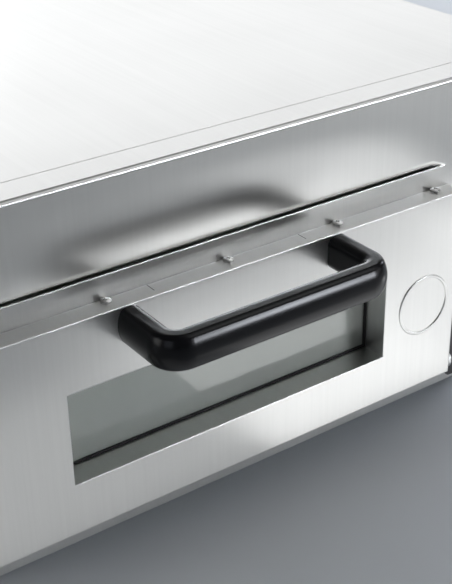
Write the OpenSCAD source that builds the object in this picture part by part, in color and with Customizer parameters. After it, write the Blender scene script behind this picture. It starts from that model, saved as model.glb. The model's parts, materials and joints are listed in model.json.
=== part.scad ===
/* [Baking chamber] */
// Clear width of the chamber mouth
chamber_w = 404; // [380:2:500]
// Clear height of the chamber mouth
chamber_h = 134; // [130:1:180]
// Depth of the chamber from its mouth to its back wall
chamber_d = 388; // [340:2:480]
// Thickness of the chamber sheet
liner_t = 1; // [0.8:0.1:1.5]
// Width of the flange round the chamber mouth
liner_flange = 12; // [8:1:14]

/* [Housing] */
// Thickness of the outer sheet steel
sheet_t = 1.2; // [0.8:0.1:1.5]
// Margin between the door and the left side of the housing
side_margin = 14; // [13:1:30]
// Width of the control column beside the door
control_w = 122; // [110:1:160]
// Height of the housing front above the door
crown_h = 88; // [70:1:120]
// Height of the sill below the door
sill_h = 22; // [16:1:30]
// Space between the chamber's back wall and the rear panel
rear_gap = 60; // [45:1:90]
// Width of the strip that the fascia folds over onto the roof
roof_strip = 28; // [20:1:40]
// Width of the folded edges of the sheets
fold_w = 16; // [12:1:20]
// Outside radius of the folds along the roof
fold_r = 3; // [2:0.5:5]

/* [Steam slot] */
// Height of the slot's sheared lower edge above the door
slot_rise = 17.6; // [12:0.2:30]
// Length of the slot with its tapered ends
slot_l = 430; // [300:5:430]
// Depth to which the sheet above the slot is pressed in
slot_press = 3.2; // [2.4:0.1:4.5]
// Height over which that sheet bends in
slot_bend = 6.5; // [5:0.5:9]
// Length over which the slot's ends taper
slot_taper = 15; // [8:1:24]

/* [Door] */
// Overlap of the door beyond the mouth at each side
lap_side = 15; // [14:1:24]
// Overlap of the door above the mouth
lap_top = 16; // [15:1:24]
// Overlap of the door below the mouth
lap_bottom = 18; // [18:1:26]
// Depth of the door's folded outer skin
door_d = 16.5; // [14:0.5:24]
// Gap between the closed door and the fascia
door_gap = 0.5; // [0.4:0.1:1]
// Depth of the plug that enters the mouth, from the fascia's face
plug_d = 17; // [16:1:24]
// Clearance of the plug in the mouth
plug_gap = 4; // [3:0.5:6]
// Width of the window
window_w = 282; // [200:2:300]
// Height of the window
window_h = 73.5; // [50:0.5:80]
// Distance of the window below the door's top
window_drop = 52.5; // [44:0.5:60]
// Depth of the window's folded reveal
reveal_d = 22; // [18:0.5:26]
// Thickness of each glass pane
glass_t = 4; // [3:0.5:5]
// Overlap of the outer pane behind the reveal
glass_lap = 8; // [6:0.5:12]

/* [Handle] */
// Distance between the handle's two screws
grip_pitch = 180; // [128:2:224]
// Reach of the grip's centre line from the door
grip_reach = 50.4; // [40:0.1:60]
// Thickness of the grip between the palm and the door
grip_w = 18.4; // [14:0.2:24]
// Height of the grip
grip_h = 26.8; // [22:0.2:32]
// Radius of the grip's bulging front
grip_front_r = 23.5; // [20:0.5:30]
// Radius of the grip's crests above and below that front
grip_crest_r = 4.7; // [3:0.1:6]
// Corner radius of the grip's inner side
grip_inner_r = 7; // [4:0.5:8]
// Bend radius of the handle's centre line
bend_r = 14; // [12:0.5:24]
// Distance of the handle's centre below the door's top
grip_drop = 14.7; // [13.8:0.1:20]

/* [Hinge] */
// Radius of the hinge pins
pin_r = 3; // [2.5:0.25:4]
// Height of the hinge axis above the door's bottom edge
axis_rise = 8; // [7:0.1:10]
// Running clearance of the pins in the door's bearing blocks
pin_clear = 0.06; // [0.03:0.01:0.1]
// Thickness of the hinge brackets
ear_t = 3; // [2:0.5:4]
// Gap between the door's sides and the brackets
ear_gap = 0.8; // [0.5:0.1:1.2]

/* [Controls] */
// Distance between the centres of the knobs
knob_pitch = 64; // [56:1:80]
// Radius of the knobs
knob_r = 21; // [17:0.5:24]
// Height of the knobs in front of the panel
knob_h = 21; // [16:1:26]
// Radius of the control spindles
spindle_r = 3; // [2.5:0.25:4]
// Width of the power switch's rocker
rocker_w = 19; // [14:0.5:24]
// Height of the power switch's rocker
rocker_h = 26; // [20:0.5:32]
// Travel of the power switch in degrees
rocker_throw = 18; // [10:1:20]
// Radius of the pilot lamps
lamp_r = 4.5; // [3:0.5:6]

/* [Feet] */
// Height of the feet
foot_h = 46; // [30:1:60]
// Radius of the feet at the table
foot_r = 20; // [16:0.5:26]
// Inset of the feet from the sides of the housing
foot_inset_x = 45; // [32:1:70]
// Inset of the feet from the front and the back of the housing
foot_inset_y = 70; // [32:1:110]

/* [Heating] */
// Radius of the tubular elements
tube_r = 4; // [3:0.25:5]
// Bend radius of the tubular elements
tube_bend = 40; // [24:1:44]
// Height of the lower element above the chamber floor
lower_rise = 14; // [10:1:18]
// Distance of the upper element below the chamber roof
upper_drop = 14; // [10:1:20]
// Thickness of the baking stone
stone_t = 14; // [10:1:20]
// Clearance round the baking stone
stone_gap = 4; // [2:0.5:8]
// Height of the rails that carry the stone
rail_h = 24; // [22:1:30]
// Thickness of the insulation blankets
wool_t = 24; // [16:1:26]

/* [Hidden] */

$fn = 48;
eps = 0.01;
seat = 0.3;

door_w = chamber_w + 2 * lap_side;
door_h = chamber_h + lap_top + lap_bottom;
left_x = -door_w / 2 - side_margin;
right_x = door_w / 2 + control_w;
mid_x = (left_x + right_x) / 2;
body_w = right_x - left_x;
floor_z = foot_h;
door_z = floor_z + sill_h;
door_top = door_z + door_h;
roof_z = door_top + crown_h;
mouth_z = door_z + lap_bottom;
mouth_top = mouth_z + chamber_h;

face_y = door_d + door_gap;
back_of_face = face_y + sheet_t;
chamber_y = back_of_face + liner_t;
chamber_back = chamber_y + chamber_d;
rear_y = chamber_back + liner_t + rear_gap;

grip_out = grip_reach + grip_w / 2;
gland_out = 24;
mid_y = (rear_y + gland_out - grip_out) / 2;

slot_z = door_top + slot_rise;

plug_w = chamber_w - 2 * plug_gap;
plug_z = mouth_z + plug_gap;
plug_h = chamber_h - 2 * plug_gap;
plug_back = face_y + plug_d;
window_z = door_top - window_drop - window_h;
gasket_t = 1.5;
glass_y = reveal_d + gasket_t;
inner_glass_lap = 6;
inner_glass_y = plug_back - sheet_t - glass_t;

axis_y = face_y - axis_rise - 0.4;
axis_z = door_z + axis_rise;
ear_r = 8;
bracket_t = 2;
bracket_w = 13;
bracket_screw_x = door_w / 2 + 8.6;
bracket_screw_zs = [door_z + 5, door_z + 19];
block_w = 12;

plate_x = door_w / 2 + 14;
plate_w = right_x - plate_x - 6;
plate_z = floor_z + 4;
plate_h = roof_z - floor_z - 10;
plate_t = 1.5;
plate_y = face_y - plate_t;
plate_mid = plate_x + plate_w / 2;
knob_z = [plate_z + 46, plate_z + 46 + knob_pitch, plate_z + 46 + 2 * knob_pitch];
lamp_rise = knob_pitch / 2;
switch_z = knob_z[2] + lamp_rise + 32;
spindle_clear = 0.06;
case_w = 42;
case_h = 42;
case_d = 30;
bracket_y = back_of_face + 6;
bushing_r = 5;
housing_w = rocker_w + 4;
housing_h = rocker_h + 4;
spindle_out = 15;

shield_x = chamber_w / 2 + liner_t + wool_t + 1;
leg_l = chamber_w - 2 * tube_bend - 36;
leg_pitch = 2 * tube_bend;
element_y = chamber_y + (chamber_d - 3 * leg_pitch) / 2;
upper_z = mouth_top - upper_drop;
lower_z = mouth_z + lower_rise;
stone_z = mouth_z + rail_h;
stone_y = chamber_y + plug_d;
rail_w = 14;
handle_screw_r = 2.5;
sensor_r = 3;
sensor_y = chamber_back - 60;
sensor_zs = [upper_z - 22, lower_z + 40];
element_ends = [element_y, element_y + 3 * leg_pitch];
capillary_r = 1;
screw_xs = [-200, -100, 0, 100, 200];
top_screw_y = 12.3;
screw_r = 1.5;
screw_hole_r = 1.65;
screw_head_r = 3.9;
screw_head_h = 2.4;

cover_screw_ys = [face_y + 60, rear_y - 40];
cover_screw_z = floor_z + 8;
gland_z = floor_z + 40;
gland_r = 8;
rear_screw_xs = [left_x + 30, mid_x, right_x - 30];
rear_screw_zs = [floor_z + 9, roof_z - 12];

foot_screw_r = 3;
foot_xs = [left_x + foot_inset_x, right_x - foot_inset_x];
foot_ys = [face_y + foot_inset_y, rear_y - foot_inset_y];

// Moves a piece from the door's own axes to the frame centred under the whole oven
module place() {
    translate([-mid_x, -mid_y, 0]) children();
}

// A box given by its low corner and its size
module block(x, y, z, w, d, h) {
    translate([x, y, z]) cube([w, d, h]);
}

// A cylinder along Y, growing towards the back
module rod_y(x, y, z, r, l) {
    translate([x, y, z]) rotate([-90, 0, 0]) cylinder(r = r, h = l);
}

// A cylinder along X, growing to the right
module rod_x(x, y, z, r, l) {
    translate([x, y, z]) rotate([0, 90, 0]) cylinder(r = r, h = l);
}

// Extrudes a section drawn in Y and Z to the right, from x
module along_x(x, l) {
    translate([x, 0, 0]) rotate([90, 0, 90]) linear_extrude(l) children();
}

// Outline of a rectangle with round corners, centred
module round_rect(w, h, r) {
    square([w - 2 * r, h], center = true);
    square([w, h - 2 * r], center = true);
    for (sx = [-1, 1], sy = [-1, 1]) translate([sx * (w / 2 - r), sy * (h / 2 - r)]) circle(r);
}

// A plate that stands upright, drawn in X and Z and growing towards the back
module upright(y, t) {
    translate([0, y + t, 0]) rotate([90, 0, 0]) linear_extrude(t) children();
}

// Domed cross-recess screw, with its head towards +Z
module pan_screw(r, l, head_r, head_h) {
    difference() {
        union() {
            translate([0, 0, -l]) cylinder(r = r, h = l + eps);
            intersection() {
                cylinder(r = head_r, h = head_h);
                translate([0, 0, head_h - head_r * 1.9]) sphere(r = head_r * 1.9);
            }
        }
        for (a = [0, 90]) rotate(a) block(-head_r / 2, -0.45, head_h - 1, head_r, 0.9, 2);
    }
}

// ---- housing ----

// Row of cooling slots with round ends, centred, cut through along Z
module slot_row(n, pitch, w, l) {
    for (i = [0 : n - 1]) translate([(i - (n - 1) / 2) * pitch, 0, 0]) {
        translate([-w / 2, -l / 2 + w / 2, -5]) cube([w, l - w, 10]);
        for (s = [-1, 1]) translate([0, s * (l / 2 - w / 2), -5]) cylinder(d = w, h = 10, $fn = 16);
    }
}

module base_pan() {
    inner = sheet_t + seat;
    x0 = left_x + inner;
    w = body_w - 2 * inner;
    y0 = back_of_face + sheet_t + seat;
    d = rear_y - sheet_t - seat - y0;
    color("silver") place() difference() {
        union() {
            block(x0, y0, floor_z, w, d, sheet_t);
            for (x = [x0, x0 + w - sheet_t]) block(x, y0, floor_z, sheet_t, d, fold_w);
            for (y = [y0, y0 + d - sheet_t]) block(x0, y, floor_z, w, sheet_t, fold_w);
        }
        for (x = foot_xs, y = foot_ys) translate([x, y, floor_z - 1])
            cylinder(r = foot_screw_r + 0.2, h = 5);
        translate([shield_x + (right_x - shield_x) / 2, (y0 + rear_y) / 2, floor_z])
            slot_row(5, 14, 5, 90);
        for (x = [left_x, right_x - 4], y = cover_screw_ys) rod_x(x, y, cover_screw_z, screw_r, 4);
        for (x = rear_screw_xs) rod_y(x, rear_y - 6, rear_screw_zs[0], screw_r, 5);
    }
}

// Outline of the steam slot with the sheet that is pressed in above it, drawn in X and Z
module slot_outline() {
    half = slot_l / 2;
    top = slot_z + slot_bend;
    polygon([[-half, slot_z], [half, slot_z], [half - slot_taper, top], [-half + slot_taper, top]]);
}

// Section of the sheet above the slot: it leaves the face along an arc and ends at the slot's height
module lip_section() {
    turn = 2 * atan(slot_press / slot_bend);
    r = slot_bend / sin(turn);
    translate([r, slot_bend]) intersection() {
        difference() {
            circle(r);
            circle(r - sheet_t);
        }
        polygon([[0, 0], [-2 * r, 0], [-2 * r * cos(turn), -2 * r * sin(turn)]]);
    }
}

// The pressed sheet above the slot, whose ends rise back to the face in a point
module slot_lip() {
    l = slot_l - 2 * slot_taper;
    translate([-l / 2, face_y, slot_z]) rotate([90, 0, 90]) linear_extrude(l) lip_section();
    for (s = [0, 1]) mirror([s, 0, 0]) hull() {
        translate([l / 2, face_y, slot_z]) rotate([90, 0, 90]) linear_extrude(eps) lip_section();
        block(l / 2 + slot_taper - eps, face_y, slot_z, eps, sheet_t, eps);
    }
}

module front_fascia() {
    color("gainsboro") place() difference() {
        union() {
            difference() {
                block(left_x, face_y, floor_z, body_w, sheet_t, roof_z - floor_z - fold_r);
                upright(face_y - 1, sheet_t + 2) slot_outline();
                block(-chamber_w / 2, face_y - 1, mouth_z, chamber_w, sheet_t + 2, chamber_h);
            }
            slot_lip();
            // Rolled edge and strip on the roof, with a tongue under the cover
            translate([left_x, face_y, roof_z]) rotate([90, 0, 90]) linear_extrude(body_w)
                translate([fold_r, -fold_r]) difference() {
                    circle(fold_r);
                    circle(fold_r - sheet_t);
                    translate([0, -9]) square(18);
                    translate([-9, -9]) square([18, 9]);
                }
            block(left_x, face_y + fold_r, roof_z - sheet_t, body_w, roof_strip - fold_r, sheet_t);
            block(left_x + fold_r + seat, face_y + roof_strip - 2 * sheet_t, roof_z - 2 * sheet_t,
                body_w - 2 * fold_r - 2 * seat, 14, sheet_t);
            // Folded sides and bottom
            for (x = [left_x, right_x - sheet_t])
                block(x, face_y, floor_z, sheet_t, 2 * sheet_t, roof_z - floor_z - fold_r);
            block(left_x, face_y, floor_z, body_w, 2 * sheet_t, sheet_t);
        }
        // Openings behind the control plate
        for (z = knob_z) rod_y(plate_mid, face_y - 1, z, bushing_r + 1, sheet_t + 2);
        for (z = knob_z) rod_y(plate_mid, face_y - 1, z + lamp_rise, lamp_r + 0.5, sheet_t + 2);
        block(plate_mid - housing_w / 2 - 0.5, face_y - 1, switch_z - housing_h / 2 - 0.5,
            housing_w + 1, sheet_t + 2, housing_h + 1);
        // Screw holes of the hinge brackets
        for (s = [-1, 1], z = bracket_screw_zs)
            rod_y(s * bracket_screw_x, face_y - 1, z, screw_hole_r, sheet_t + 2);
    }
}

module wrap_cover() {
    y0 = face_y + roof_strip + 0.4;
    side_y = face_y + 2 * sheet_t + 0.4;
    d = rear_y - y0;
    h = roof_z - floor_z;
    color("gainsboro") place() difference() {
        union() {
            // Roof and sides as one bent sheet
            translate([mid_x, y0 + d, floor_z + h / 2]) rotate([90, 0, 0]) linear_extrude(d)
                difference() {
                    union() {
                        round_rect(body_w, h, fold_r);
                        translate([-body_w / 2, -h / 2]) square([body_w, h / 2]);
                    }
                    round_rect(body_w - 2 * sheet_t, h - 2 * sheet_t, fold_r - sheet_t);
                    translate([-body_w / 2 + sheet_t, -h / 2 - 1])
                        square([body_w - 2 * sheet_t, h / 2]);
                }
            // Rear edge of the roof, folded down for the rear panel's screws
            block(left_x + sheet_t + 4, rear_y - 2 * sheet_t - seat, roof_z - sheet_t - fold_w,
                body_w - 2 * sheet_t - 8, sheet_t, fold_w);
            // The sides reach forward below the strip of the fascia
            for (x = [left_x, right_x - sheet_t])
                block(x, side_y, floor_z, sheet_t, y0 - side_y + eps, h - 2 * sheet_t - 0.4);
        }
        // Cooling slots beside the controls
        for (z = [floor_z + 60, floor_z + 130])
            translate([right_x, face_y + 110, z]) rotate([0, 90, 0]) rotate(90)
                slot_row(9, 14, 5, 46);
        translate([left_x, face_y + 110, floor_z + 60]) rotate([0, 90, 0]) rotate(90)
            slot_row(9, 14, 5, 46);
        for (x = [left_x - 1, right_x - 3], y = cover_screw_ys)
            rod_x(x, y, cover_screw_z, screw_hole_r, 4);
        for (x = rear_screw_xs) rod_y(x, rear_y - 6, rear_screw_zs[1], screw_r, 5);
    }
}

// Pressed louvre, open at its lower edge, for the rear panel
module louvre(l, r) {
    rotate([0, 90, 0]) difference() {
        translate([0, 0, -l / 2]) cylinder(r = r, h = l, $fn = 32);
        translate([0, 0, -l / 2 + 1]) cylinder(r = r - 1, h = l - 2, $fn = 32);
        translate([0, -2 * r, -l / 2 - 1]) cube([2 * r, 4 * r, l + 2]);
        translate([-2 * r, -2 * r - eps, -l / 2 - 1]) cube([4 * r, 2 * r, l + 2]);
    }
}

louvre_r = 7;
louvre_l = 60;
louvre_xs = [-160, -80, 0, 80];
louvre_zs = [roof_z - 50, roof_z - 74, roof_z - 98];

module rear_panel() {
    inset = sheet_t + seat;
    w = body_w - 2 * inset;
    h = roof_z - floor_z - sheet_t - seat;
    y0 = rear_y - sheet_t;
    color("silver") place() difference() {
        union() {
            difference() {
                upright(y0, sheet_t) translate([left_x + inset, floor_z]) polygon([
                    [0, 0], [w, 0], [w, h - fold_r], [w - fold_r, h], [fold_r, h], [0, h - fold_r]
                ]);
                for (x = louvre_xs, z = louvre_zs)
                    block(x - louvre_l / 2 + 1, y0 - 1, z, louvre_l - 2, sheet_t + 2, louvre_r - 1);
            }
            for (x = louvre_xs, z = louvre_zs) translate([x, rear_y - eps, z]) louvre(louvre_l, louvre_r);
            // Folded edges that the cover is screwed to
            for (x = [left_x + inset, right_x - inset - sheet_t])
                block(x, y0 - fold_w, floor_z + fold_w + 2, sheet_t, fold_w + eps, h - fold_w - 20);
        }
        rod_y(plate_mid, y0 - 1, gland_z, gland_r, sheet_t + 2);
        for (x = rear_screw_xs, z = rear_screw_zs) rod_y(x, y0 - 1, z, screw_hole_r, sheet_t + 2);
    }
}

// Shield between the hot chamber and the controls
module heat_shield() {
    y0 = back_of_face + 8;
    d = rear_y - 26 - y0;
    z0 = floor_z + sheet_t + 1;
    h = roof_z - 12 - z0;
    color("lightgray") place() difference() {
        union() {
            block(shield_x, y0, z0, sheet_t, d, h);
            block(shield_x, y0, z0, fold_w, d, sheet_t);
            block(shield_x, y0, z0, fold_w, sheet_t, h);
        }
        for (z = [upper_z, lower_z], y = element_ends)
            rod_x(shield_x - 1, y, z, tube_r + 3, fold_w + 2);
        for (z = sensor_zs)
            rod_x(shield_x - 1, sensor_y, z, sensor_r + 1.5, sheet_t + 2);
    }
}

// ---- chamber ----

module chamber_shell() {
    t = liner_t;
    color("darkgray") place() difference() {
        union() {
            difference() {
                block(-chamber_w / 2 - t, back_of_face, mouth_z - t, chamber_w + 2 * t,
                    chamber_back + t - back_of_face, chamber_h + 2 * t);
                block(-chamber_w / 2, back_of_face - 1, mouth_z, chamber_w,
                    chamber_back - back_of_face + 1, chamber_h);
            }
            difference() {
                block(-chamber_w / 2 - liner_flange, back_of_face, mouth_z - liner_flange,
                    chamber_w + 2 * liner_flange, t, chamber_h + 2 * liner_flange);
                block(-chamber_w / 2, back_of_face - 1, mouth_z, chamber_w, t + 2, chamber_h);
            }
        }
        // Holes for the ends of the elements and the sensors
        for (z = [upper_z, lower_z], y = element_ends)
            rod_x(chamber_w / 2 - 1, y, z, tube_r, t + 2);
        for (z = sensor_zs)
            rod_x(chamber_w / 2 - 1, sensor_y, z, sensor_r, t + 2);
        // Steam outlets in the roof behind the slot
        for (x = [-120, -60, 0, 60, 120]) translate([x, chamber_y + 14, mouth_top])
            rotate(90) slot_row(1, 10, 6, 40);
    }
}

// Angle rails along the sides that carry the baking stone
module stone_rails() {
    y0 = stone_y;
    d = chamber_d - plug_d - 4;
    color("darkgray") place() for (s = [-1, 1]) {
        x = s > 0 ? chamber_w / 2 - sheet_t : -chamber_w / 2;
        shelf = s > 0 ? chamber_w / 2 - rail_w : -chamber_w / 2;
        difference() {
            union() {
                block(x, y0, mouth_z, sheet_t, d, rail_h);
                block(shelf, y0, stone_z - sheet_t, rail_w, d, sheet_t);
            }
            if (s > 0) for (y = element_ends)
                rod_x(x - 1, y, lower_z, tube_r + 1.5, sheet_t + 2);
        }
    }
}

module baking_stone() {
    w = chamber_w - 2 * stone_gap;
    d = chamber_d - plug_d - 8;
    color("wheat") place() translate([0, stone_y + d / 2, stone_z]) {
        linear_extrude(stone_t - 2) round_rect(w, d, 6);
        translate([0, 0, stone_t - 2 - eps]) linear_extrude(2 + eps) round_rect(w - 3, d - 3, 5);
    }
}

// Tubular element: four runs along X joined by three half-turn bends, ends at the right
module element(z, colour) {
    x0 = -leg_l / 2 - 6;
    x1 = x0 + leg_l;
    out = shield_x + 16;
    color(colour) place() translate([0, element_y, z]) {
        for (i = [1, 2]) rod_x(x0, i * leg_pitch, 0, tube_r, x1 - x0);
        for (i = [0, 3]) rod_x(x0, i * leg_pitch, 0, tube_r, out - x0);
        for (i = [0, 2]) translate([x0, (i + 0.5) * leg_pitch, 0]) rotate(90)
            rotate_extrude(angle = 180) translate([leg_pitch / 2, 0]) circle(tube_r, $fn = 24);
        translate([x1, 1.5 * leg_pitch, 0]) rotate(-90)
            rotate_extrude(angle = 180) translate([leg_pitch / 2, 0]) circle(tube_r, $fn = 24);
        // Ceramic end bushes and blade terminals in the control space
        for (i = [0, 3]) {
            rod_x(out - eps, i * leg_pitch, 0, tube_r + 1, 6);
            block(out + 6 - eps, i * leg_pitch - 3.2, -0.4, 12, 6.4, 0.8);
        }
    }
}

module upper_element() {
    element(upper_z, "dimgray");
}

module lower_element() {
    element(lower_z, "dimgray");
}

// Flat bars with end tabs that carry the elements
module element_hangers() {
    l = 3 * leg_pitch + 4 * tube_r + 10;
    y0 = element_y - 2 * tube_r - 5;
    bar = 1.5;
    color("gray") place() for (x = [-110, 70]) {
        block(x, y0, upper_z - tube_r - bar, 14, l, bar);
        for (y = [y0, y0 + l - bar])
            block(x, y, upper_z - tube_r - bar, 14, bar, upper_drop + tube_r + bar);
        block(x, y0, lower_z - tube_r - bar, 14, l, bar);
        for (y = [y0, y0 + l - bar]) block(x, y, mouth_z, 14, bar, lower_rise - tube_r);
    }
}

// ---- insulation ----

module wool(x, y, z, w, d, h) {
    color("ivory") place() block(x, y, z, w, d, h);
}

module insulation_top() {
    wool(-chamber_w / 2, chamber_y + 40, mouth_top + liner_t + seat, chamber_w, chamber_d - 40, wool_t);
}

module insulation_bottom() {
    wool(-chamber_w / 2, chamber_y + 6, mouth_z - liner_t - seat - wool_t,
        chamber_w, chamber_d - 6, wool_t);
}

module insulation_left() {
    x = left_x + sheet_t + 2;
    wool(x, chamber_y + 6, mouth_z, -chamber_w / 2 - liner_t - seat - x, chamber_d - 6, chamber_h);
}

module insulation_right() {
    x = chamber_w / 2 + liner_t + seat;
    color("ivory") place() difference() {
        block(x, chamber_y + 8, mouth_z, shield_x - seat - x, chamber_d - 8, chamber_h);
        for (z = [upper_z, lower_z], y = element_ends)
            rod_x(x - 1, y, z, tube_r + 0.5, wool_t + 4);
        for (z = sensor_zs)
            rod_x(x - 1, sensor_y, z, sensor_r + 0.5, wool_t + 4);
    }
}

module insulation_rear() {
    wool(-chamber_w / 2, chamber_back + liner_t + seat, mouth_z, chamber_w, wool_t, chamber_h);
}

// ---- controls ----

module control_plate() {
    color("black") place() difference() {
        upright(plate_y, plate_t) translate([plate_mid, plate_z + plate_h / 2])
            round_rect(plate_w, plate_h, 4);
        for (z = knob_z) rod_y(plate_mid, plate_y - 1, z, bushing_r + 0.1, plate_t + 2);
        for (z = knob_z) rod_y(plate_mid, plate_y - 1, z + lamp_rise, lamp_r + 0.1, plate_t + 2);
        block(plate_mid - housing_w / 2 - 0.1, plate_y - 1, switch_z - housing_h / 2 - 0.1,
            housing_w + 0.2, plate_t + 2, housing_h + 0.2);
    }
}

// Case with a threaded bushing through the panel and a bore for the spindle
module rotary_case(z, w, h, d, colour) {
    color(colour) place() difference() {
        union() {
            translate([plate_mid, bracket_y + d, z]) rotate([90, 0, 0]) linear_extrude(d)
                round_rect(w, h, 3);
            rod_y(plate_mid, plate_y - 2, z, bushing_r, bracket_y - plate_y + 2 + eps);
            // Nut behind the panel and terminals at the back
            translate([plate_mid, back_of_face + 3.5, z]) rotate([90, 0, 0])
                cylinder(r = 8, h = 3, $fn = 6);
            for (sx = [-1, 1])
                block(plate_mid + sx * 10 - 3.2, bracket_y + d - eps, z - 0.4, 6.4, 9, 0.8);
        }
        rod_y(plate_mid, plate_y - 3, z, spindle_r + spindle_clear, bracket_y - plate_y + 13);
    }
}

module upper_thermostat() {
    rotary_case(knob_z[2], case_w, case_h, case_d, "whitesmoke");
}

module lower_thermostat() {
    rotary_case(knob_z[1], case_w, case_h, case_d, "whitesmoke");
}

module timer() {
    rotary_case(knob_z[0], 50, 46, 38, "lightsteelblue");
}

// Spindle with a flat on its front end
module spindle(z) {
    l = bracket_y + 8 - plate_y + spindle_out;
    color("silver") place() difference() {
        rod_y(plate_mid, plate_y - spindle_out, z, spindle_r, l);
        block(plate_mid - 5, plate_y - spindle_out - 1, z + spindle_r * 0.55, 10, 11, 5);
    }
}

module upper_spindle() {
    spindle(knob_z[2]);
}

module lower_spindle() {
    spindle(knob_z[1]);
}

module timer_spindle() {
    spindle(knob_z[0]);
}

// Knob with a dished skirt, a ribbed rim and a raised bar across its front
module knob(z) {
    hub_gap = 2.5;
    ribs = 24;
    rim_h = knob_h - 9;
    color("black") place() translate([plate_mid, plate_y - hub_gap, z]) rotate([90, 0, 0]) difference() {
        union() {
            rotate_extrude($fn = 64) polygon([
                [spindle_r, 0], [knob_r, 0], [knob_r, 3], [knob_r - 1.5, 4.5], [knob_r - 4, 5.5],
                [knob_r - 5, rim_h - 2], [knob_r - 7, rim_h], [spindle_r, rim_h]
            ]);
            translate([0, 0, spindle_out - hub_gap]) cylinder(r = spindle_r + 1, h = 2);
            // Raised bar with round ends
            translate([0, 0, rim_h - 1]) linear_extrude(knob_h - rim_h + 1) difference() {
                round_rect(9, 2 * knob_r - 12, 4.4);
                translate([-0.7, knob_r - 14]) square([1.4, 9]);
            }
            for (i = [0 : ribs - 1]) rotate((i + 0.5) * 360 / ribs)
                translate([knob_r - 5.4, -0.9, 4]) cube([1.8, 1.8, rim_h - 6.5]);
        }
        // Hollow under the skirt and the bore with its flat
        translate([0, 0, -1]) rotate_extrude($fn = 64) translate([spindle_r + 3, 0])
            square([knob_r - spindle_r - 6, 3]);
        difference() {
            translate([0, 0, -1]) cylinder(r = spindle_r, h = spindle_out - hub_gap + 1);
            translate([-5, spindle_r * 0.55, spindle_out - hub_gap - 10]) cube([10, 5, 20]);
        }
    }
}

module upper_knob() {
    knob(knob_z[2]);
}

module lower_knob() {
    knob(knob_z[1]);
}

module timer_knob() {
    knob(knob_z[0]);
}

// Sensor bulb inside the chamber with its capillary led to the thermostat
module sensor(bulb_z, case_z) {
    x_out = shield_x + 14;
    case_y = bracket_y + case_d;
    color("orange") place() {
        // The bulb lies along the back of the side wall
        rod_x(chamber_w / 2 - 26, sensor_y, bulb_z, sensor_r, x_out - chamber_w / 2 + 26);
        // Capillary forward along the shield and up or down to the case
        translate([x_out - 2, case_y + 6, bulb_z]) rotate([-90, 0, 0])
            cylinder(r = capillary_r, h = sensor_y - case_y - 6, $fn = 16);
        translate([x_out - 2, case_y + 6, bulb_z]) sphere(capillary_r, $fn = 16);
        translate([x_out - 2, case_y + 6, min(bulb_z, case_z + 8)])
            cylinder(r = capillary_r, h = abs(case_z + 8 - bulb_z), $fn = 16);
        translate([x_out - 2, case_y + 6, case_z + 8]) sphere(capillary_r, $fn = 16);
        rod_x(x_out - 2, case_y + 6, case_z + 8, capillary_r, plate_mid - x_out - 14, $fn = 16);
        translate([plate_mid - 16, case_y + 6, case_z + 8]) sphere(capillary_r, $fn = 16);
        rod_y(plate_mid - 16, case_y, case_z + 8, capillary_r, 6, $fn = 16);
    }
}

module upper_sensor() {
    sensor(sensor_zs[0], knob_z[2]);
}

module lower_sensor() {
    sensor(sensor_zs[1], knob_z[1]);
}

// Ledge on the heat shield that carries the backs of the cases
module control_bracket() {
    w = 30;
    x0 = shield_x + sheet_t;
    color("lightgray") place() for (z = knob_z) {
        block(x0, bracket_y + 6, z - 26 - sheet_t, plate_mid + w / 2 - x0, 20, sheet_t);
        block(x0, bracket_y + 6, z - 40, sheet_t, 20, 14);
    }
}

// Snap-in housing of the power switch, with its bezel in front of the plate
module switch_housing() {
    color("black") place() difference() {
        union() {
            upright(plate_y - 2, 2) translate([plate_mid, switch_z])
                round_rect(housing_w + 4, housing_h + 4, 2);
            upright(plate_y - eps, 20) translate([plate_mid, switch_z])
                square([housing_w, housing_h], center = true);
            for (sz = [-1, 1]) block(plate_mid - 3.2, plate_y + 20 - eps, switch_z + sz * 7, 6.4, 8, 0.8);
        }
        upright(plate_y - 3, 17) translate([plate_mid, switch_z])
            square([rocker_w, rocker_h], center = true);
        rod_x(plate_mid - rocker_w / 2 - 1.5, plate_y + 4, switch_z, 1.5, rocker_w + 3);
    }
}

// Rocker with two faces that meet in a shallow valley, shown switched off
module switch_rocker() {
    gap = 0.5;
    w = rocker_w - 2 * gap;
    tilt = rocker_throw / 2;
    reach = rocker_h / 2 - 0.8;
    pivot_r = 1.44;
    color("crimson") place() translate([plate_mid, plate_y + 4, switch_z]) rotate([tilt, 0, 0]) {
        translate([-w / 2, 0, 0]) rotate([90, 0, 90]) linear_extrude(w) intersection() {
            circle(reach);
            polygon([
                [4, -reach * 0.6], [-4.2, -reach - 1], [-8.4, -reach - 1], [-5.6, 0],
                [-8.4, reach + 1], [-4.2, reach + 1], [4, reach * 0.6]
            ]);
        }
        rod_x(-rocker_w / 2 - 1.4, 0, 0, pivot_r, rocker_w + 2.8);
    }
}

// Domed lenses of the pilot lamps
module pilot_lamps() {
    color("orange") place() for (z = knob_z) translate([plate_mid, plate_y, z + lamp_rise]) {
        rotate([-90, 0, 0]) cylinder(r = lamp_r, h = 18);
        rotate([90, 0, 0]) cylinder(r = lamp_r + 1.5, h = 1.2);
        intersection() {
            translate([0, 2, 0]) sphere(r = lamp_r + 1.2);
            rotate([90, 0, 0]) cylinder(r = lamp_r, h = 6);
        }
    }
}

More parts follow.
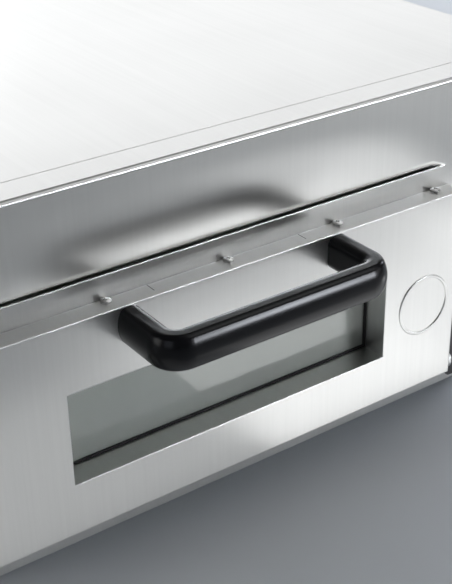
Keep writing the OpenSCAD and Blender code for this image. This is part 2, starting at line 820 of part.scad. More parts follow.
module terminal_block() {
    poles = 5;
    pitch = 10;
    x0 = plate_mid - poles * pitch / 2;
    color("whitesmoke") place() translate([x0, rear_y - 140, floor_z + sheet_t])
        difference() {
            union() {
                cube([poles * pitch, 22, 10]);
                for (i = [0 : poles - 1])
                    translate([i * pitch + 1, 4, 10 - eps]) cube([pitch - 2, 14, 7]);
            }
            for (i = [0 : poles - 1]) translate([(i + 0.5) * pitch, 11, 8])
                cylinder(r = 2, h = 12, $fn = 16);
            for (i = [0 : poles - 1]) translate([(i + 0.5) * pitch, -1, 6]) rotate([-90, 0, 0])
                cylinder(r = 1.6, h = 24, $fn = 16);
        }
}

// Gland where the supply lead would enter: hexagon, domed nut and a clear bore
module cable_gland() {
    bore = 4.5;
    color("black") place() translate([plate_mid, rear_y, gland_z]) rotate([-90, 0, 0]) difference() {
        union() {
            translate([0, 0, -10]) cylinder(r = gland_r - 0.1, h = 10 + eps);
            translate([0, 0, -sheet_t - 4]) cylinder(r = 12, h = 4, $fn = 6);
            cylinder(r = 12, h = 6, $fn = 6);
            translate([0, 0, 6 - eps]) rotate_extrude() polygon([
                [0, 0], [10.5, 0], [10.5, 9], [9, 13], [6.5, gland_out - 6], [0, gland_out - 6]
            ]);
            for (i = [0 : 11]) rotate(i * 30) translate([10.3, 0, 6]) cylinder(r = 1, h = 9, $fn = 16);
        }
        translate([0, 0, -11]) cylinder(r = bore, h = gland_out + 12);
    }
}

// ---- feet ----

// Tapered foot with a waist, a groove above its pad and a counterbored screw hole
module foot(x, y) {
    neck = foot_r * 0.72;
    color("#1c1c1e") place() translate([x, y, 0]) difference() {
        rotate_extrude($fn = 64) polygon([
            [0, 0], [foot_r - 1, 0], [foot_r, 1], [foot_r, 7], [foot_r - 1.2, 8], [foot_r - 1.2, 9.5],
            [foot_r, 10.5], [foot_r - 0.6, 14], [neck, foot_h - 8], [neck + 3, foot_h - 4],
            [neck + 3, foot_h], [0, foot_h]
        ]);
        translate([0, 0, -1]) cylinder(r = 7, h = foot_h - 7);
        translate([0, 0, foot_h - 9]) cylinder(r = foot_screw_r + 0.1, h = 12);
    }
}

module foot_front_left() {
    foot(foot_xs[0], foot_ys[0]);
}

module foot_front_right() {
    foot(foot_xs[1], foot_ys[0]);
}

module foot_rear_left() {
    foot(foot_xs[0], foot_ys[1]);
}

module foot_rear_right() {
    foot(foot_xs[1], foot_ys[1]);
}

// Screws that hold the feet, heads down in the counterbores, with nuts on the pan
module foot_screws() {
    head_z = foot_h - 8;
    color("silver") place() for (x = foot_xs, y = foot_ys) translate([x, y, 0]) {
        translate([0, 0, head_z - 4]) cylinder(r = 5, h = 4);
        translate([0, 0, head_z - eps]) cylinder(r = foot_screw_r, h = floor_z + 10 - head_z);
        translate([0, 0, floor_z + sheet_t]) cylinder(r = 5.5, h = 5, $fn = 6);
    }
}

// ---- hinges ----

// Bracket at one side of the door: a flange on the fascia and a round-nosed ear
module hinge_bracket(s) {
    inner = door_w / 2 + ear_gap;
    lug_h = 24;
    x0 = s > 0 ? inner : -inner - ear_t;
    flange_x = s > 0 ? inner : -door_w / 2 - bracket_w;
    color("silver") place() difference() {
        union() {
            translate([x0, axis_y, axis_z]) rotate([0, 90, 0]) cylinder(r = ear_r, h = ear_t);
            block(x0, axis_y, door_z, ear_t, face_y - axis_y, lug_h);
            block(flange_x, face_y - bracket_t, door_z, bracket_w - ear_gap, bracket_t, lug_h);
        }
        rod_x(x0 - 1, axis_y, axis_z, pin_r, ear_t + 2);
        for (z = bracket_screw_zs)
            rod_y(s * bracket_screw_x, face_y - bracket_t - 1, z, screw_hole_r, bracket_t + 2);
        // The ear's top corner is cut back
        translate([x0 - 1, axis_y - ear_r - 1, axis_z + ear_r]) cube([ear_t + 2, ear_r + 5, 30]);
    }
}

module hinge_bracket_left() {
    hinge_bracket(-1);
}

module hinge_bracket_right() {
    hinge_bracket(1);
}

// Shoulder pins, riveted in the brackets, with a round head outside
module hinge_pins() {
    head = 3;
    inner = door_w / 2 + ear_gap;
    color("dimgray") place() for (s = [-1, 1]) {
        x0 = s > 0 ? door_w / 2 - sheet_t - block_w + 2 : -inner - ear_t;
        rod_x(x0, axis_y, axis_z, pin_r, inner + ear_t - door_w / 2 + sheet_t + block_w - 2);
        rod_x(s > 0 ? inner + ear_t : -inner - ear_t - head, axis_y, axis_z, 5.2, head);
    }
}

// Bearing blocks inside the door's lower corners, which turn on the pins
module bearing_blocks() {
    block_back = door_d - 3;
    block_top = 2 * axis_z - door_z - sheet_t;
    color("gray") place() for (s = [-1, 1]) {
        x0 = s > 0 ? door_w / 2 - sheet_t - block_w : -door_w / 2 + sheet_t;
        difference() {
            along_x(x0, block_w) polygon(door_section(sheet_t, block_back, block_top));
            rod_x(x0 - 1, axis_y, axis_z, pin_r + pin_clear, block_w + 2);
        }
    }
}

// ---- door ----

// Side view of the door, inset by m; the lower rear edge is cut back to clear the sill as it drops
function door_section(m, back, top) =
    let (cut_y = axis_y - (sqrt(2) - 1) * m)
    [[m, door_z + m], [cut_y, door_z + m], [back, door_z + m + back - cut_y], [back, top], [m, top]];

module door_skin() {
    t = sheet_t;
    color("gainsboro") place() difference() {
        union() {
            difference() {
                along_x(-door_w / 2, door_w) polygon(door_section(0, door_d, door_top));
                along_x(-door_w / 2 + t, door_w - 2 * t)
                    polygon(door_section(t, door_d + 1, door_top - t));
            }
            // The window's edges fold back to the glass
            block(-window_w / 2 - t, 0, window_z - t, window_w + 2 * t, reveal_d, window_h + 2 * t);
        }
        block(-window_w / 2, -1, window_z, window_w, reveal_d + 2, window_h);
        for (s = [-1, 1])
            rod_y(s * grip_pitch / 2, -1, door_top - grip_drop, handle_screw_r + 0.2, t + 2);
        for (x = screw_xs) translate([x, top_screw_y, door_top - t - 1])
            cylinder(r = screw_hole_r, h = t + 2);
        for (s = [-1, 1]) rod_x(s * (door_w / 2 - t / 2) - t, axis_y, axis_z, pin_r + 0.4, 2 * t);
    }
}

module door_inner() {
    t = sheet_t;
    lap = 0.2;
    w = door_w - 2 * t - 2 * lap;
    low = door_section(t, door_d, door_top)[2][1] + lap;
    high = door_top - t - lap;
    hem = 6;
    color("silver") place() difference() {
        union() {
            // Cover plate inside the skin, with its screwed edge at the top
            difference() {
                block(-w / 2, door_d - t, low, w, t, high - low);
                block(-plug_w / 2 + t, door_d - t - 1, plug_z + t, plug_w - 2 * t, t + 2, plug_h - 2 * t);
            }
            block(-w / 2 + block_w + 2, 8, high - t, w - 2 * block_w - 4, door_d - 8, t);
            // Hem that lies on the sloping edge of the skin
            along_x(-w / 2 + block_w + 2, w - 2 * block_w - 4) polygon([
                [door_d, low], [door_d - t, low + (sqrt(2) - 1) * t],
                [door_d - hem - t / sqrt(2), low - hem + t / sqrt(2)], [door_d - hem, low - hem]
            ]);
            // The plug that fills the mouth
            difference() {
                block(-plug_w / 2, door_d - eps, plug_z, plug_w, plug_back - door_d + eps, plug_h);
                block(-plug_w / 2 + t, door_d - 1, plug_z + t, plug_w - 2 * t,
                    plug_back - t - door_d + 1, plug_h - 2 * t);
            }
        }
        block(-window_w / 2 + 4, plug_back - t - 1, window_z + 4, window_w - 8, t + 2, window_h - 8);
        for (x = screw_xs) translate([x, top_screw_y, high - t - 1]) cylinder(r = screw_r, h = t + 2);
    }
}

module door_insulation() {
    t = sheet_t;
    m = 3;
    y0 = t + 6;
    color("ivory") place() difference() {
        block(-plug_w / 2 + t + m, y0, plug_z + t + m, plug_w - 2 * t - 2 * m,
            plug_back - t - seat - y0, plug_h - 2 * t - 2 * m);
        block(-window_w / 2 - glass_lap - m, y0 - 1, window_z - glass_lap - m,
            window_w + 2 * glass_lap + 2 * m, plug_back, window_h + 2 * glass_lap + 2 * m);
    }
}

module outer_glass() {
    color("lightseagreen", 0.4) place()
        block(-window_w / 2 - glass_lap, glass_y, window_z - glass_lap, window_w + 2 * glass_lap,
            glass_t, window_h + 2 * glass_lap);
}

module inner_glass() {
    color("lightseagreen", 0.4) place()
        block(-window_w / 2 - inner_glass_lap, inner_glass_y, window_z - inner_glass_lap,
            window_w + 2 * inner_glass_lap, glass_t, window_h + 2 * inner_glass_lap);
}

// Dark cord of sealing felt between the reveal and the outer pane
module glass_gasket() {
    lip = 1.6;
    color("black") place() difference() {
        block(-window_w / 2 - glass_lap, reveal_d, window_z - glass_lap, window_w + 2 * glass_lap,
            gasket_t, window_h + 2 * glass_lap);
        block(-window_w / 2 + lip, reveal_d - 1, window_z + lip, window_w - 2 * lip, gasket_t + 2,
            window_h - 2 * lip);
    }
}

// Spacer frame between the two panes
module glass_clamps() {
    y0 = glass_y + glass_t;
    d = inner_glass_y - y0;
    rim = 8;
    color("silver") place() difference() {
        block(-window_w / 2 - inner_glass_lap, y0, window_z - inner_glass_lap,
            window_w + 2 * inner_glass_lap, d, window_h + 2 * inner_glass_lap);
        block(-window_w / 2 + rim - inner_glass_lap, y0 - 1, window_z + rim - inner_glass_lap,
            window_w - 2 * rim + 2 * inner_glass_lap, d + 2, window_h - 2 * rim + 2 * inner_glass_lap);
    }
}

// ---- handle ----

// Section of the grip: a wide bulge towards the palm, turned back to a flatter side over two tight crests
module grip_section() {
    bulge_x = grip_w / 2 - grip_front_r;
    crest_y = grip_h / 2 - grip_crest_r;
    crest_turn = asin(crest_y / (grip_front_r - grip_crest_r));
    crest_x = bulge_x + (grip_front_r - grip_crest_r) * cos(crest_turn);
    inner_x = grip_inner_r - grip_w / 2;
    inner_y = grip_h / 2 - grip_inner_r;
    // Bulging front, cut off where the crests take over
    intersection() {
        translate([bulge_x, 0]) circle(grip_front_r, $fn = 144);
        polygon([
            for (s = [-1, 1]) [0, -s * bulge_x * tan(crest_turn)],
            for (s = [1, -1]) [grip_w, s * (grip_w - bulge_x) * tan(crest_turn)]
        ]);
    }
    for (s = [-1, 1]) {
        translate([crest_x, s * crest_y]) circle(grip_crest_r, $fn = 64);
        translate([inner_x, s * inner_y]) circle(grip_inner_r, $fn = 64);
    }
    translate([inner_x, -grip_h / 2]) square([crest_x - inner_x, grip_h]);
    translate([-grip_w / 2, -inner_y]) square([grip_w / 2 + crest_x, 2 * inner_y]);
}

module handle() {
    half = grip_pitch / 2;
    leg = grip_reach - bend_r;
    insert_l = 16;
    color("#101114") place() translate([0, 0, door_top - grip_drop]) difference() {
        union() {
            // Grip along X
            translate([-half + bend_r, -grip_reach, 0]) rotate([90, 0, 90]) mirror([1, 0, 0])
                linear_extrude(2 * (half - bend_r)) grip_section();
            for (s = [0, 1]) mirror([s, 0, 0]) {
                // Quarter bend
                translate([half - bend_r, -grip_reach + bend_r, 0])
                    rotate(-90) rotate_extrude(angle = 90) translate([bend_r, 0]) grip_section();
                // Leg that stands on the door
                translate([half, 0, 0]) rotate([90, 0, 0]) linear_extrude(leg)
                    grip_section();
            }
        }
        for (s = [-1, 1]) rod_y(s * half, -insert_l, 0, handle_screw_r, insert_l + 1);
    }
}

module handle_screws() {
    color("silver") place() for (s = [-1, 1])
        translate([s * grip_pitch / 2, sheet_t, door_top - grip_drop]) rotate([-90, 0, 0])
            pan_screw(handle_screw_r, 13, 4.6, 3.2);
}

// ---- fasteners ----

module door_screws() {
    color("silver") place() for (x = screw_xs)
        translate([x, top_screw_y, door_top]) pan_screw(screw_r, 5, screw_head_r, screw_head_h);
}

module cover_screws() {
    color("silver") place() for (y = cover_screw_ys) {
        translate([left_x, y, cover_screw_z]) rotate([0, -90, 0])
            pan_screw(screw_r, 6, screw_head_r, screw_head_h);
        translate([right_x, y, cover_screw_z]) rotate([0, 90, 0])
            pan_screw(screw_r, 6, screw_head_r, screw_head_h);
    }
}

module rear_screws() {
    color("silver") place() for (x = rear_screw_xs, z = rear_screw_zs)
        translate([x, rear_y, z]) rotate([-90, 0, 0]) pan_screw(screw_r, 6, screw_head_r, screw_head_h);
}

module bracket_screws() {
    color("silver") place() for (s = [-1, 1], z = bracket_screw_zs)
        translate([s * bracket_screw_x, face_y - bracket_t, z]) rotate([90, 0, 0])
            pan_screw(screw_r, 8, 3, 1.8);
}

base_pan();
front_fascia();
wrap_cover();
rear_panel();
control_plate();
heat_shield();
chamber_shell();
stone_rails();
baking_stone();
upper_element();
lower_element();
element_hangers();
insulation_top();
insulation_bottom();
insulation_left();
insulation_right();
insulation_rear();
upper_thermostat();
lower_thermostat();
timer();
upper_spindle();
lower_spindle();
timer_spindle();
upper_knob();
lower_knob();
timer_knob();
upper_sensor();
lower_sensor();
control_bracket();
switch_housing();
switch_rocker();
pilot_lamps();
terminal_block();
cable_gland();
foot_front_left();
foot_front_right();
foot_rear_left();
foot_rear_right();
foot_screws();
hinge_bracket_left();
hinge_bracket_right();
hinge_pins();
bearing_blocks();
door_skin();
door_inner();
door_insulation();
outer_glass();
inner_glass();
glass_gasket();
glass_clamps();
handle();
handle_screws();
door_screws();
cover_screws();
rear_screws();
bracket_screws();
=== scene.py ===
"""Looks of a countertop deck oven for pizza: brushed steel, black bow handle, glazed drop-down door."""

import json
import math

import bpy
from mathutils import Matrix, Vector
from mathutils.bvhtree import BVHTree


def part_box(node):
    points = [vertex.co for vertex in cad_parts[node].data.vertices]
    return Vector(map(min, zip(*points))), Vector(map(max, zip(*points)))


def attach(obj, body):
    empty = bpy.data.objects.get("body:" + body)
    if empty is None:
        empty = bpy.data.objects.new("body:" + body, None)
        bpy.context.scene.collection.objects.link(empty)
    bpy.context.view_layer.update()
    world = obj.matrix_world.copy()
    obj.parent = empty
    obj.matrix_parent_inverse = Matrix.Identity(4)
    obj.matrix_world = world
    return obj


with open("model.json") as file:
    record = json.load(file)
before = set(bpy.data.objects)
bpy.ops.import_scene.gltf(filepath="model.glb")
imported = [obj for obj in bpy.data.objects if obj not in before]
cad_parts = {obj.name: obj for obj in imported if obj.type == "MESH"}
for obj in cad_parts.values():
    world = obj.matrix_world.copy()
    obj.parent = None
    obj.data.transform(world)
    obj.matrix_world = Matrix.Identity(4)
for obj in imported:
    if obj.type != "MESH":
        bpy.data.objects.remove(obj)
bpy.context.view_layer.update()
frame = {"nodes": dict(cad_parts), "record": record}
nodes = frame["nodes"]
bpy.ops.object.select_all(action="DESELECT")

# Places that the looks are set out from, in metres: the door's middle, face and top, the plate's face
door_low, door_high = (Vector(corner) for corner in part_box("door_skin"))
DOOR_MID = (door_low.x + door_high.x) / 2
DOOR_FACE = door_low.y
DOOR_TOP = door_high.z
PLATE_FACE = Vector(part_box("control_plate")[0]).y

# ---------------------------------------------------------------- camera
# Worked out from the photograph's two vanishing points: its right side, its line of sight and its place
PHOTO_RIGHT = Vector((0.8176, -0.5755, -0.0191))
PHOTO_AHEAD = Vector((0.4986, 0.7242, -0.4764))
EYE = Vector((-0.492, -0.8363, 0.6276))
FILM_WIDTH = 36
FOCAL_LENGTH = 75.2
NEAREST, FARTHEST = 0.05, 50


def add_camera():
    """Puts the camera where the photograph was taken from."""
    camera = bpy.data.cameras.new("photo_camera")
    camera.sensor_width = FILM_WIDTH
    camera.lens = FOCAL_LENGTH
    camera.clip_start, camera.clip_end = NEAREST, FARTHEST
    holder = bpy.data.objects.new("photo_camera", camera)
    bpy.context.scene.collection.objects.link(holder)
    ahead = PHOTO_AHEAD.normalized()
    right = (PHOTO_RIGHT - PHOTO_RIGHT.dot(ahead) * ahead).normalized()
    up = right.cross(ahead)
    turn = Matrix((right, up, -ahead)).transposed().to_4x4()
    holder.matrix_world = Matrix.Translation(EYE) @ turn
    bpy.context.scene.camera = holder


add_camera()


# ---------------------------------------------------------------- material benches
def put(tree, socket, value):
    """Sets a socket, or links it where the value is another node's socket."""
    if isinstance(value, bpy.types.NodeSocket):
        tree.links.new(value, socket)
    else:
        socket.default_value = value


def add(tree, kind, inputs=(), **settings):
    """Adds a node with its settings and its inputs."""
    made = tree.nodes.new("ShaderNode" + kind)
    for key, value in settings.items():
        setattr(made, key, value)
    for key, value in dict(inputs).items():
        put(tree, made.inputs[key], value)
    return made


def sums(tree, operation, a, b=0.0):
    """One step of arithmetic."""
    return add(tree, "Math", {0: a, 1: b}, operation=operation).outputs[0]


def spread(tree, value, low, high, to_low, to_high):
    """Carries a value from one range to another, and holds it there."""
    inputs = {"Value": value, "From Min": low, "From Max": high, "To Min": to_low, "To Max": to_high}
    return add(tree, "MapRange", inputs).outputs["Result"]


def blended(tree, factor, a, b):
    """A colour between a and b."""
    made = add(tree, "Mix", data_type="RGBA")
    put(tree, made.inputs[0], factor)
    put(tree, made.inputs[6], a)
    put(tree, made.inputs[7], b)
    return made.outputs[2]


def cloud(tree, place, scale, detail=2.0, roughness=0.5, stretch=(1, 1, 1)):
    """A soft random pattern from 0 to 1, that can be stretched into lines."""
    if tuple(stretch) != (1, 1, 1):
        place = add(tree, "Mapping", {"Vector": place, "Scale": stretch}).outputs[0]
    inputs = {"Vector": place, "Scale": scale, "Detail": detail, "Roughness": roughness}
    return add(tree, "TexNoise", inputs).outputs["Fac"]


def rgb(r, g, b):
    """A colour with no transparency."""
    return (r, g, b, 1)


# ---------------------------------------------------------------- effects that finishes share
def effect(name, takes, gives):
    """An empty effect with its named inputs and outputs."""
    group = bpy.data.node_groups.new(name, "ShaderNodeTree")
    for title, kind, start in takes:
        socket = group.interface.new_socket(name=title, in_out="INPUT", socket_type="NodeSocket" + kind)
        if start is not None:
            socket.default_value = start
    for title, kind in gives:
        group.interface.new_socket(name=title, in_out="OUTPUT", socket_type="NodeSocket" + kind)
    source = group.nodes.new("NodeGroupInput")
    end = group.nodes.new("NodeGroupOutput")
    return group, source.outputs, end.inputs


# Lines of the grinding belt to the metre, across and along them
FINE_LINES = (2400, 26, 26)
STREAKS = (260, 5, 5)


def make_brushed_lines():
    """Lines left by the grinding belt: upright on fronts and sides, front to back on the roof."""
    group, given, out = effect(
        "brushed_lines",
        [("Place", "Vector", None), ("Side", "Float", 0.0)],
        [("Fine", "Float"), ("Streak", "Float")],
    )
    at = add(group, "SeparateXYZ", {0: given["Place"]}).outputs
    turned = add(group, "CombineXYZ", {"X": at["Y"], "Y": at["X"], "Z": at["Z"]}).outputs[0]
    swap = add(group, "Mix", data_type="VECTOR")
    for index, value in ((0, given["Side"]), (4, given["Place"]), (5, turned)):
        put(group, swap.inputs[index], value)
    lines = swap.outputs[1]
    put(group, out["Fine"], cloud(group, lines, 1.0, 3.0, 0.6, FINE_LINES))
    put(group, out["Streak"], cloud(group, lines, 1.0, 3.0, 0.6, STREAKS))
    return group


def make_worn_edges():
    """Edges rubbed by hands and cloths, broken up so that they don't look drawn."""
    group, given, out = effect(
        "worn_edges", [("Place", "Vector", None), ("Width", "Float", 0.001)], [("Wear", "Float")]
    )
    round_normal = add(group, "Bevel", {"Radius": given["Width"]}, samples=4).outputs[0]
    flat_normal = add(group, "NewGeometry").outputs["Normal"]
    level = add(group, "VectorMath", {0: round_normal, 1: flat_normal}, operation="DOT_PRODUCT")
    edge = spread(group, level.outputs["Value"], 0.99, 0.8, 0.0, 1.0)
    broken = spread(group, cloud(group, given["Place"], 300.0, 3.0, 0.6), 0.35, 0.65, 0.2, 1.0)
    put(group, out["Wear"], sums(group, "MULTIPLY", edge, broken))
    return group


def make_settled_dust():
    """Fine dust and flour that stays on what faces up."""
    group, given, out = effect(
        "settled_dust",
        [("Place", "Vector", None), ("Facing", "Vector", None), ("Amount", "Float", 0.1)],
        [("Dust", "Float")],
    )
    up = spread(group, add(group, "SeparateXYZ", {0: given["Facing"]}).outputs["Z"], 0.2, 0.95, 0.0, 1.0)
    patches = spread(group, cloud(group, given["Place"], 28.0, 5.0, 0.65), 0.4, 0.75, 0.15, 1.0)
    settled = sums(group, "MULTIPLY", up, patches)
    put(group, out["Dust"], sums(group, "MULTIPLY", settled, given["Amount"]))
    return group


def make_wiped_smears():
    """Marks of fingers and cloths: large soft patches that dull a polish a little."""
    group, given, out = effect("wiped_smears", [("Place", "Vector", None)], [("Smear", "Float")])
    arcs = cloud(group, given["Place"], 9.0, 4.0, 0.6, (1, 1, 0.45))
    spots = cloud(group, given["Place"], 70.0, 3.0, 0.5)
    both = sums(group, "ADD", sums(group, "MULTIPLY", arcs, 0.75), sums(group, "MULTIPLY", spots, 0.25))
    put(group, out["Smear"], spread(group, both, 0.38, 0.66, 0.0, 1.0))
    return group


def make_pores():
    """Grains and pores of moulded, fired and painted surfaces, with their height."""
    group, given, out = effect(
        "pores",
        [("Place", "Vector", None), ("Scale", "Float", 900.0)],
        [("Grain", "Float"), ("Pits", "Float")],
    )
    grain = add(group, "TexNoise", {"Vector": given["Place"], "Scale": given["Scale"], "Detail": 3.0})
    put(group, out["Grain"], grain.outputs["Fac"])
    pits = add(group, "TexVoronoi", {"Vector": given["Place"], "Scale": given["Scale"]}, feature="F1")
    put(group, out["Pits"], spread(group, pits.outputs["Distance"], 0.05, 0.4, 0.0, 1.0))
    return group


BRUSHED_LINES = make_brushed_lines()
WORN_EDGES = make_worn_edges()
SETTLED_DUST = make_settled_dust()
WIPED_SMEARS = make_wiped_smears()
PORES = make_pores()


class Finish:
    """A material in the making, with the places on the piece that its patterns start from."""

    def __init__(self, name, **sockets):
        self.material = bpy.data.materials.new(name)
        self.material.use_nodes = True
        self.tree = self.material.node_tree
        self.shader = self.tree.nodes["Principled BSDF"]
        given = add(self.tree, "TexCoord").outputs
        self.place = add(self.tree, "Mapping", {"Vector": given["Object"]}).outputs[0]
        self.facing = given["Normal"]
        for title, value in sockets.items():
            self.set(title.replace("_", " "), value)

    def set(self, title, value):
        """Sets or links one of the shader's sockets."""
        put(self.tree, self.shader.inputs[title], value)

    def use(self, group, **inputs):
        """Places a shared effect and returns its outputs."""
        made = self.tree.nodes.new("ShaderNodeGroup")
        made.node_tree = group
        put(self.tree, made.inputs["Place"], self.place)
        if "Facing" in made.inputs:
            put(self.tree, made.inputs["Facing"], self.facing)
        for title, value in inputs.items():
            put(self.tree, made.inputs[title], value)
        return made.outputs

    def relief(self, height, distance, strength=1.0, under=None):
        """Turns a height into a normal."""
        inputs = {"Height": height, "Distance": distance, "Strength": strength}
        if under is not None:
            inputs["Normal"] = under
        return add(self.tree, "Bump", inputs).outputs["Normal"]


# ---------------------------------------------------------------- finishes
STEEL_TONE = (0.70, 0.70, 0.685)
# The sheet's roughness stays over 0.28: where it crosses 0.27, the picture's noise filter draws scratches
STEEL_ROUGHNESS = 0.288
ROUGHNESS_OF_LINES = 0.006
ROUGHNESS_OF_SMEARS = 0.02
EDGE_RADIUS = 0.0013
LINE_DEPTH = 0.00001

# The fascia's bow above the steam slot: where it starts, its height and radius, the slot's lip that it ends
# at, and how far from the door's middle it starts and stops to fade out
BOW_TOP = DOOR_TOP + 0.076
BOW_H = 0.060
BOW_R = 0.31
SLOT_LIP = DOOR_TOP + 0.0178
BOW_FADE = (0.10, 0.225)

# Painted shade of thin cuts at the back of the door's top flange, drawn as dark lines in the colour with no
# cut in the sheet: how far each lies from the door's middle
NOTCH_SHADE_PLACES = (0.0655, 0.1965)
NOTCH_SHADE_HALF = 0.0003
FLANGE_LEVEL = DOOR_TOP - 0.0004
FLANGE_BACK = DOOR_FACE + 0.0065


def brushed_steel(name, bowed=False, notch_shade=False):
    """Stainless sheet with a belt-ground finish and softly bent edges. The bowed one curves in gently towards
    the steam slot, and the one for the door has painted shade of thin upright cuts at the back of its top
    flange: dark lines in its colour, not cuts in the sheet."""
    f = Finish(name, Metallic=1.0, Anisotropic=0.72)
    tree = f.tree
    facing = add(tree, "SeparateXYZ", {0: f.facing}).outputs
    side = sums(tree, "GREATER_THAN", sums(tree, "ABSOLUTE", facing["X"]), 0.7)
    lines = f.use(BRUSHED_LINES, Side=side)
    smear = f.use(WIPED_SMEARS)["Smear"]
    dust = f.use(SETTLED_DUST, Amount=0.03)["Dust"]
    dark, light = (rgb(*(c * k for c in STEEL_TONE)) for k in (0.975, 1.015))
    colour = blended(tree, spread(tree, lines["Streak"], 0.3, 0.7, 0.0, 1.0), dark, light)
    colour = blended(tree, dust, colour, rgb(0.62, 0.60, 0.56))
    at = add(tree, "SeparateXYZ", {0: f.place}).outputs
    off = sums(tree, "ABSOLUTE", sums(tree, "SUBTRACT", at["X"], DOOR_MID))
    # Painted shade: a near-black line in the sheet's colour where each thin cut's shade would fall, with no
    # cut in the mesh
    if notch_shade:
        on_flange = sums(tree, "GREATER_THAN", at["Z"], FLANGE_LEVEL)
        on_flange = sums(tree, "MULTIPLY", on_flange, sums(tree, "GREATER_THAN", at["Y"], FLANGE_BACK))
        for place in NOTCH_SHADE_PLACES:
            aside = sums(tree, "ABSOLUTE", sums(tree, "SUBTRACT", off, place))
            near = sums(tree, "LESS_THAN", aside, NOTCH_SHADE_HALF)
            colour = blended(tree, sums(tree, "MULTIPLY", near, on_flange), colour, rgb(0.05, 0.05, 0.05))
    f.set("Base Color", colour)
    low, high = STEEL_ROUGHNESS - ROUGHNESS_OF_LINES, STEEL_ROUGHNESS + ROUGHNESS_OF_LINES
    base = spread(tree, lines["Fine"], 0.3, 0.7, low, high)
    f.set("Roughness", sums(tree, "ADD", base, sums(tree, "MULTIPLY", smear, ROUGHNESS_OF_SMEARS)))
    across = add(tree, "CombineXYZ", {"X": sums(tree, "SUBTRACT", 1.0, side), "Y": side})
    turn = add(tree, "VectorTransform", {0: across.outputs[0]}, vector_type="VECTOR",
               convert_from="OBJECT", convert_to="WORLD")
    f.set("Tangent", turn.outputs[0])
    normal = add(tree, "Bevel", {"Radius": EDGE_RADIUS}, samples=6).outputs[0]
    if bowed:
        below = spread(tree, at["Z"], BOW_TOP - BOW_H, BOW_TOP, BOW_H, 0.0)
        sag = sums(tree, "MULTIPLY", sums(tree, "MULTIPLY", below, below), -0.5 / BOW_R)
        reach = {"Value": off, "From Min": BOW_FADE[0], "From Max": BOW_FADE[1], "To Min": 1.0, "To Max": 0.0}
        fade = add(tree, "MapRange", reach, interpolation_type="SMOOTHSTEP").outputs["Result"]
        above = sums(tree, "GREATER_THAN", at["Z"], SLOT_LIP)
        sag = sums(tree, "MULTIPLY", sums(tree, "MULTIPLY", sag, fade), above)
        normal = f.relief(sag, 1.0, 1.0, normal)
    f.set("Normal", f.relief(lines["Fine"], LINE_DEPTH, 0.3, normal))
    return f.material


def galvanised_sheet():
    """Zinc-coated sheet with its spangle of crystals."""
    f = Finish("galvanised_sheet", Metallic=1.0)
    tree = f.tree
    spangle = add(tree, "TexVoronoi", {"Vector": f.place, "Scale": 140.0}, feature="F1").outputs["Color"]
    tone = add(tree, "SeparateColor", {0: spangle}).outputs[0]
    smear = f.use(WIPED_SMEARS)["Smear"]
    f.set("Base Color", blended(tree, tone, rgb(0.50, 0.52, 0.54), rgb(0.68, 0.69, 0.70)))
    f.set("Roughness", spread(tree, sums(tree, "ADD", tone, smear), 0.0, 2.0, 0.30, 0.52))
    f.set("Normal", f.relief(cloud(tree, f.place, 420.0), 0.00003, 0.5))
    return f.material


def aluminised_sheet():
    """Aluminium-coated sheet of the chamber, tinted straw and brown by the heat."""
    f = Finish("aluminised_sheet", Metallic=1.0)
    tree = f.tree
    heat = spread(tree, cloud(tree, f.place, 11.0, 5.0, 0.6), 0.35, 0.7, 0.0, 1.0)
    pits = f.use(PORES, Scale=520.0)
    colour = blended(tree, heat, rgb(0.50, 0.50, 0.49), rgb(0.34, 0.25, 0.16))
    stain = sums(tree, "MULTIPLY", pits["Grain"], 0.35)
    f.set("Base Color", blended(tree, stain, colour, rgb(0.14, 0.11, 0.09)))
    f.set("Roughness", spread(tree, pits["Grain"], 0.3, 0.7, 0.34, 0.55))
    f.set("Normal", f.relief(pits["Grain"], 0.00004, 0.6))
    return f.material


def powder_black():
    """Satin powder coat of the control plate, with its fine orange peel."""
    f = Finish("powder_black", Specular_IOR_Level=0.5)
    tree = f.tree
    grain = f.use(PORES, Scale=1100.0)["Grain"]
    wear = f.use(WORN_EDGES, Width=0.0008)["Wear"]
    dust = f.use(SETTLED_DUST, Amount=0.25)["Dust"]
    colour = blended(tree, grain, rgb(0.018, 0.018, 0.020), rgb(0.034, 0.034, 0.037))
    colour = blended(tree, sums(tree, "MULTIPLY", wear, 0.5), colour, rgb(0.16, 0.16, 0.16))
    f.set("Base Color", blended(tree, dust, colour, rgb(0.35, 0.34, 0.32)))
    smear = f.use(WIPED_SMEARS)["Smear"]
    f.set("Roughness", spread(tree, smear, 0.0, 1.0, 0.36, 0.46))
    f.set("Normal", f.relief(grain, 0.00006, 0.7))
    return f.material


def fired_stone():
    """Refractory stone: cream with open pores, browned by spilt flour and cheese."""
    f = Finish("fired_stone", Roughness=0.9)
    tree = f.tree
    pores = f.use(PORES, Scale=430.0)
    coarse = cloud(tree, f.place, 90.0, 5.0, 0.7)
    browned = spread(tree, cloud(tree, f.place, 13.0, 4.0, 0.6), 0.52, 0.75, 0.0, 0.75)
    colour = blended(tree, coarse, rgb(0.60, 0.52, 0.41), rgb(0.80, 0.73, 0.62))
    colour = blended(tree, browned, colour, rgb(0.23, 0.14, 0.07))
    f.set("Base Color", blended(tree, pores["Pits"], rgb(0.30, 0.24, 0.17), colour))
    f.set("Roughness", spread(tree, coarse, 0.3, 0.7, 0.82, 0.96))
    height = sums(tree, "ADD", pores["Pits"], coarse)
    f.set("Normal", f.relief(height, 0.0003, 0.6))
    return f.material


